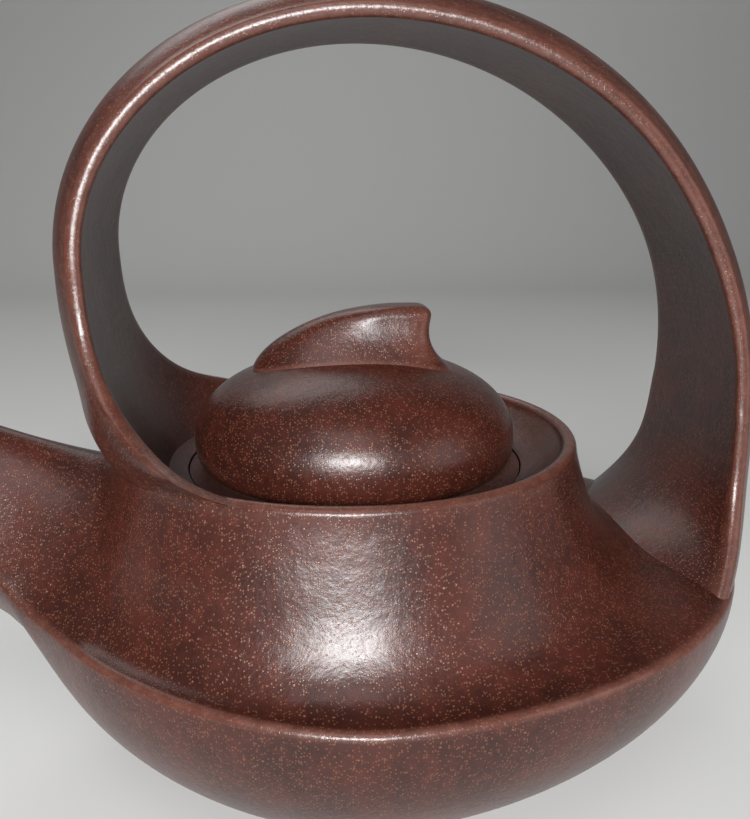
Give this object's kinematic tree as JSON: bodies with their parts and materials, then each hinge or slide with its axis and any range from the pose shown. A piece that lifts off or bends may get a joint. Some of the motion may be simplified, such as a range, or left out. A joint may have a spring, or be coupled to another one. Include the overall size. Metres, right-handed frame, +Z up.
{
  "type": "teapot",
  "caption": "Unglazed red clay teapot with a low ridged body, a wide collar, one loop strap handle over a domed lift-off lid with a fin knob, and a tapering spout.",
  "frame": {"origin": "centre of the flat base disc on the table, on the lid axis", "axes": "+Z up along the lid axis, +X toward the tail where the strap lands, the spout at -X, +Y toward the back"},
  "size_m": [0.1683, 0.114, 0.1379],
  "materials": {
    "red_clay": "polished unglazed clay, satin",
    "inner_clay": "unpolished clay, matt"
  },
  "bodies": {
    "pot": {"base_disc": "inner_clay", "bowl": "red_clay", "shoulder": "red_clay", "collar": "red_clay", "lid_seat": "inner_clay", "loop_handle": "red_clay", "spout": "red_clay", "ball_strainer": "inner_clay"},
    "lid": {"lid_dome": "red_clay", "lid_flange": "inner_clay", "lid_knob": "red_clay"}
  },
  "joints": [
    {"name": "lid_lift", "type": "slide", "parent": "pot", "child": "lid", "axis": [0, 0, 1], "range_m": [0, 0.038]}
  ]
}
